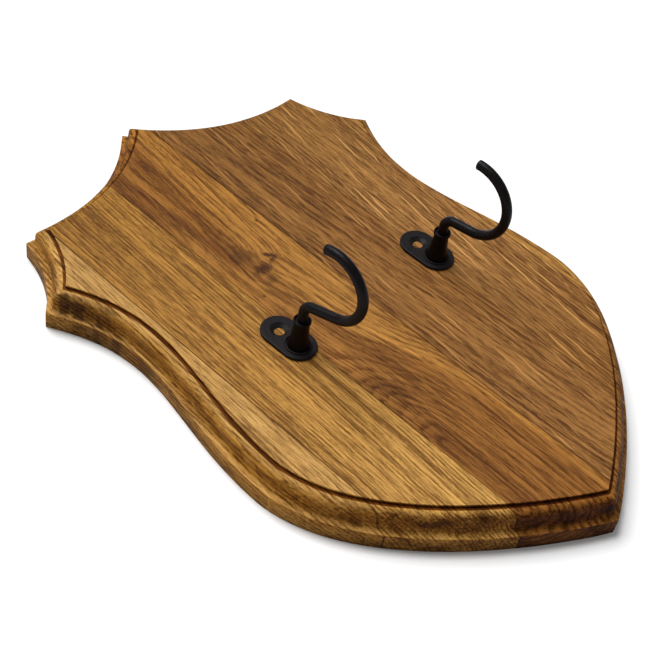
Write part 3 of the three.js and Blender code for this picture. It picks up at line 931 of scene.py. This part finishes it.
def nylon_finish():
    graph = Graph("nylon_insert")
    cloud = graph.noise(graph.place(), (1.5, 1.5, 1.5), 3.0, 0.6)
    colour = graph.mix(cloud, (0.50, 0.56, 0.66, 1.0), (0.66, 0.71, 0.79, 1.0))
    return graph.surface(Base_Color=colour, Roughness=graph.line(cloud, 0.3, 0.7, 0.42, 0.55),
                         Normal=graph.bump(cloud, 0.03), Subsurface_Weight=0.1)


# ---- hooks ----

def arc_stations(down, up, radius, first, last, steps):
    """Stations on an arc in the hook's plane, as (drop down the shield, height) and heading angle."""
    stations = []
    way = 1 if last > first else -1
    for i in range(1, steps + 1):
        angle = radians(first + (last - first) * i / steps)
        stations.append((down + radius * cos(angle), up + radius * sin(angle),
                         angle + way * pi / 2))
    return stations


def rod_stations(shank_low, bends):
    """(drop, height, heading) from the shank's lower end to the cut end of the cradle."""
    upright = pi / 2
    thread_top = shank_low + FINE_LENGTH
    fine = int((thread_top - shank_low) / (THREAD_PITCH / 10))
    rise_top = bends["rise_top"]
    turn = bends["bend_angle"]
    stations = [(0, shank_low + (thread_top - shank_low) * i / fine, upright) for i in range(fine + 1)]
    stations += [(0, thread_top + (rise_top - thread_top) * i / 12, upright) for i in range(1, 13)]
    stations += arc_stations(BEND_RADIUS, rise_top, BEND_RADIUS, 180, 180 - turn, 36)
    cradle = (bends["drop"], bends["height"], bends["radius"])
    cut = bends["end"] - 90
    chamfer_start = cut - degrees(END_CHAMFER / bends["radius"])
    stations += arc_stations(*cradle, -turn - 1, chamfer_start, 120)
    stations += arc_stations(*cradle, chamfer_start, cut, 1)
    return stations


def rod_radius(travelled, total, angle):
    """The rod's radius at a place along it: broken ends, a rolled thread, then plain rod."""
    end_distance = min(travelled, total - travelled)
    radius = ROD_RADIUS - max(0.0, END_CHAMFER - end_distance)
    if travelled < THREAD_LENGTH:
        turn = (travelled / THREAD_PITCH + angle / tau) % 1
        groove = 1 - abs(2 * turn - 1)
        runout = min(1.0, (THREAD_LENGTH - travelled) / THREAD_PITCH)
        radius -= THREAD_DEPTH * groove * runout
    return radius


def hook_rod(side, axis):
    low, _ = node_box(f"hook_{side}")
    stations = rod_stations(low.z - BOARD_TOP, HOOK_BENDS[side])
    segments = 48
    lengths = [0.0]
    for before, here in zip(stations, stations[1:]):
        lengths.append(lengths[-1] + dist(before[:2], here[:2]))
    total = lengths[-1]
    rings = []
    for (drop, height, heading), travelled in zip(stations, lengths):
        centre = Vector((axis.x, axis.y - drop, axis.z + height))
        sideways = Vector((0, sin(heading), cos(heading)))
        ring = []
        for i in range(segments):
            angle = tau * i / segments
            spoke = Vector((cos(angle), 0, 0)) + sideways * sin(angle)
            ring.append(centre + spoke * rod_radius(travelled, total, angle))
        rings.append(ring)
    rod = lofted(f"hook_rod_{side}", rings)
    seat = node_box(f"ferrule_{side}")[1].z - CUP_DEPTH + POCKET_CLEARANCE
    ring = [(0, seat), (SHOULDER_RADIUS, seat), (SHOULDER_RADIUS, seat + SHOULDER_HEIGHT),
            (0, seat + SHOULDER_HEIGHT)]
    shoulder = turned("shoulder", softened(ring, 0.25)[1:-1], axis, 64, closed=False)
    return carve(rod, [shoulder], "UNION")


def base_plate(side, axis):
    low, _ = node_box(f"base_plate_{side}")
    ferrule_low = node_box(f"ferrule_{side}")[0].z
    high = ferrule_low - POCKET_CLEARANCE
    body = slot_block(f"base_plate_{side}_fine", low.z, high, axis, 0, PLATE_END_RADIUS,
                      PLATE_HOLE_OFFSET, PLATE_END_RADIUS, corner=0.55)
    half = BEAD_WIDTH / 2
    bead = [(BEAD_RADIUS + half * cos(pi * i / 10),
             high + BEAD_HEIGHT * sin(pi * i / 10)) for i in range(11)]
    bead += [(BEAD_RADIUS - half, high - 0.3), (BEAD_RADIUS + half, high - 0.3)]
    carve(body, [turned("bead", bead, axis)], "UNION")
    hole = (axis.x, axis.y + PLATE_HOLE_OFFSET)
    rim = 0.15
    sink = [(SCREW_HOLE_RADIUS, low.z - 1), (SCREW_HOLE_RADIUS, low.z + 0.35),
            (COUNTERSINK_RADIUS, high - rim), (COUNTERSINK_RADIUS + rim, high),
            (COUNTERSINK_RADIUS + rim, high + 1)]
    return carve(body, [turned("sink", sink, hole, closed=False),
                        drill(BORE_RADIUS, low.z - 1, high + 2, axis)])


def ferrule(side, axis):
    """A trumpet with a lipped collar and a cup for the hook's shoulder."""
    low, high = node_box(f"ferrule_{side}")
    neck = high.z - COLLAR_HEIGHT
    foot = low.z + FOOT_HEIGHT
    steps = 20
    flare = [(FERRULE_NECK + (FERRULE_FOOT - FERRULE_NECK) * (1 - i / steps) ** 1.6,
              foot + (neck - foot) * i / steps) for i in range(steps + 1)]
    profile = [(BORE_RADIUS, low.z), (FERRULE_FOOT, low.z), *flare,
               (FERRULE_COLLAR, neck + 0.5), (FERRULE_COLLAR, high.z), (CUP_RADIUS, high.z),
               (CUP_RADIUS, high.z - CUP_DEPTH), (BORE_RADIUS, high.z - CUP_DEPTH)]
    return turned(f"ferrule_{side}_fine", softened(profile, 0.45, closed=True), axis)


def washer(side, axis):
    low, high = node_box(f"washer_{side}")
    outer = (high.x - low.x) / 2
    return flat_ring(f"washer_{side}_fine", BORE_RADIUS, outer, low.z, high.z, axis, 0.2)


def lock_nut(side, axis):
    """A chamfered hexagon whose lower end holds a nylon ring."""
    low, high = node_box(f"lock_nut_{side}")
    corner = NUT_FLATS / sqrt(3)
    nut = lofted(f"lock_nut_{side}_fine", [circle(axis, corner, z, 6) for z in (low.z, high.z)])
    flat = NUT_FLATS / 2
    collar = flat - 0.4
    collar_top = low.z + 1.2
    dome = [(collar - 0.5, low.z), (collar, low.z + 0.3), (collar, low.z + 1.1), (flat, collar_top),
            (corner, collar_top + NUT_CHAMFER), (corner, high.z - NUT_CHAMFER), (flat, high.z)]
    carve(nut, [turned("dome", dome, axis, closed=False)], "INTERSECT")
    carve(nut, [drill(BORE_RADIUS, low.z - 1, high.z + 1, axis),
                drill(BORE_RADIUS + 0.6, low.z - 1, low.z + 0.8, axis)])
    insert = flat_ring("nylon", BORE_RADIUS - 0.2, BORE_RADIUS + 0.55, low.z + 0.25, low.z + 0.75,
                       axis, 0.15, 64)
    metal_faces = len(nut.data.polygons)
    edit(nut, lambda mesh: mesh.from_mesh(insert.data))
    bpy.data.objects.remove(insert)
    for index, face in enumerate(nut.data.polygons):
        face.material_index = 0 if index < metal_faces else 1
    return nut


def build_hooks():
    # The last number is how much of the painted glint specks each part gets.
    rod_black = black_finish("black_rod", (0.0042, 0.0028, 0.0032), 0.40, 0.10, 0.35)
    turned_black = black_finish("black_turned", (0.0022, 0.0012, 0.0011), 0.38, 0.10, 0.30)
    plate_black = black_finish("black_plate", (0.0072, 0.0054, 0.0062), 0.42, 0.12, 0.80)
    zinc = zinc_finish("zinc_fasteners")
    nylon = nylon_finish()
    for side in SIDES:
        body = f"hook_{side}"
        axis = HOOK_AXES[body]
        finish_piece(hook_rod(side, axis), body, [rod_black], f"hook_{side}")
        finish_piece(lock_nut(side, axis), body, [zinc, nylon], f"lock_nut_{side}")
        finish_piece(base_plate(side, axis), "plaque", [plate_black], f"base_plate_{side}")
        finish_piece(ferrule(side, axis), "plaque", [turned_black], f"ferrule_{side}")
        finish_piece(washer(side, axis), "plaque", [zinc], f"washer_{side}")


# ---- the hanger on the back ----

def hanger_plate():
    low, high = node_box("hanger_plate")
    half, end = hanger_size()
    plate = slot_block("hanger_plate_fine", low.z, high.z, HANGER_MIDDLE, -end, half, end, half,
                       corner=0.3)
    entry = drill(KEY_ENTRY_RADIUS, -1, high.z + 1, (0, HANGER_Y - KEY_ENTRY_DROP))
    slot = slot_block("slot", -1, high.z + 1, HANGER_MIDDLE, -KEY_ENTRY_DROP, KEY_SLOT_RADIUS,
                      KEY_SLOT_RISE, KEY_SLOT_RADIUS)
    carve(plate, [entry, slot])
    clearance = 0.2
    head = SCREW_HEAD_RADIUS + clearance
    shank = SCREW_SHANK_RADIUS + clearance
    neck_z = low.z + SCREW_HEAD_HEIGHT + clearance
    sink = [(head, low.z - 1), (head, low.z + clearance), (shank, neck_z), (shank, high.z + 2)]
    for centre in SCREW_CENTRES.values():
        carve(plate, [turned("sink", sink, centre, closed=False)])
    return plate


def hanger_screw(name, centre):
    """A flat-headed wood screw with a cross recess, its head towards the back."""
    low, _ = node_box(f"hanger_screw_{name}")
    top = low.z
    profile = [(SCREW_HEAD_RADIUS - 0.15, top), (SCREW_HEAD_RADIUS, top + 0.12),
               (SCREW_SHANK_RADIUS, top + SCREW_HEAD_HEIGHT)]
    thread_from = top + SCREW_HEAD_HEIGHT + 1
    tip = top + SCREW_LENGTH
    steps = 120
    segments = 48
    rings = [circle(centre, radius, z, segments) for radius, z in profile]
    for step in range(steps + 1):
        z = thread_from + (tip - thread_from) * step / steps
        taper = min(1.0, (tip - z) / SCREW_POINT + 0.04)
        ring = []
        for i in range(segments):
            angle = tau * i / segments
            crest = max(0.0, 1 - 4 * abs((z / SCREW_PITCH + i / segments) % 1 - 0.5))
            radius = (SCREW_SHANK_RADIUS - SCREW_THREAD + SCREW_THREAD * crest) * taper
            ring.append((centre[0] + radius * cos(angle), centre[1] + radius * sin(angle), z))
        rings.append(ring)
    screw = lofted(f"hanger_screw_{name}_fine", rings)
    arm = 1.7
    width = 0.42
    depth = 1.2
    for along, wide in ((arm, width), (width, arm)):
        blade = [[(centre[0] + sx * along * shrink, centre[1] + sy * wide * shrink, z)
                  for sx, sy in ((1, 1), (-1, 1), (-1, -1), (1, -1))]
                 for z, shrink in ((top - 0.2, 1.05), (top + depth, 0.45))]
        carve(screw, [lofted("blade", blade)])
    return screw


def build_hanger():
    zinc = zinc_finish("zinc_hanger")
    finish_piece(hanger_plate(), "plaque", [zinc], "hanger_plate")
    for name, centre in SCREW_CENTRES.items():
        finish_piece(hanger_screw(name, centre), "plaque", [zinc], f"hanger_screw_{name}")


# ---- studio ----

LENS = 78.03
TARGET = Vector((-26.0, -8.1, BOARD_TOP))
AZIMUTH = radians(-54.14)
ELEVATION = radians(45.71)
DISTANCE = 665.9
ROLL = radians(10.84)
SKY_STRENGTH = 0.30
KEY_FROM = Vector((0.0, 2.0, 3.5))
KEY_WIDTH = radians(38)
KEY_STRENGTH = 3.35
FLOOR_REACH = 30000
FLOOR_GAP = 0.05


def place_camera():
    """Looks from the lower left and above."""
    data = bpy.data.cameras.new("camera")
    data.lens = LENS
    data.sensor_width = 36
    camera = placed("camera", data)
    flat = cos(ELEVATION)
    back = Vector((sin(AZIMUTH) * flat, -cos(AZIMUTH) * flat, sin(ELEVATION)))
    camera.location = (TARGET + back * DISTANCE) * MM
    camera.rotation_mode = "QUATERNION"
    camera.rotation_quaternion = (-back).to_track_quat("-Z", "Y") @ Quaternion((0, 0, 1), ROLL)
    bpy.context.scene.camera = camera


def build_studio():
    """An even sky, one large far softbox beyond the crest, and the floor."""
    world = bpy.data.worlds.new("studio")
    world.use_nodes = True
    background = world.node_tree.nodes["Background"]
    background.inputs["Color"].default_value = (1.0, 1.0, 1.0, 1.0)
    background.inputs["Strength"].default_value = SKY_STRENGTH
    bpy.context.scene.world = world
    data = bpy.data.lights.new("key", "SUN")
    data.angle = KEY_WIDTH
    data.energy = KEY_STRENGTH
    key = placed("key", data)
    key.rotation_mode = "QUATERNION"
    key.rotation_quaternion = (-KEY_FROM).to_track_quat("-Z", "Y")

    graph = Graph("pale_floor")
    cloud = graph.noise(graph.place(), (60, 60, 60), 3.0, 0.5)
    colour = graph.mix(cloud, (0.93, 0.93, 0.93, 1.0), (0.96, 0.96, 0.96, 1.0))
    material = graph.surface(Base_Color=colour, Roughness=0.9)
    steps = 48
    ring = circle((0, 0), FLOOR_REACH, -FLOOR_GAP, steps)
    floor = new_object("floor", ring, [tuple(range(steps))])
    floor.data.materials.append(material)
    bpy.context.scene.view_settings.view_transform = "Standard"


place_camera()
build_studio()
build_board()
build_hooks()
build_hanger()
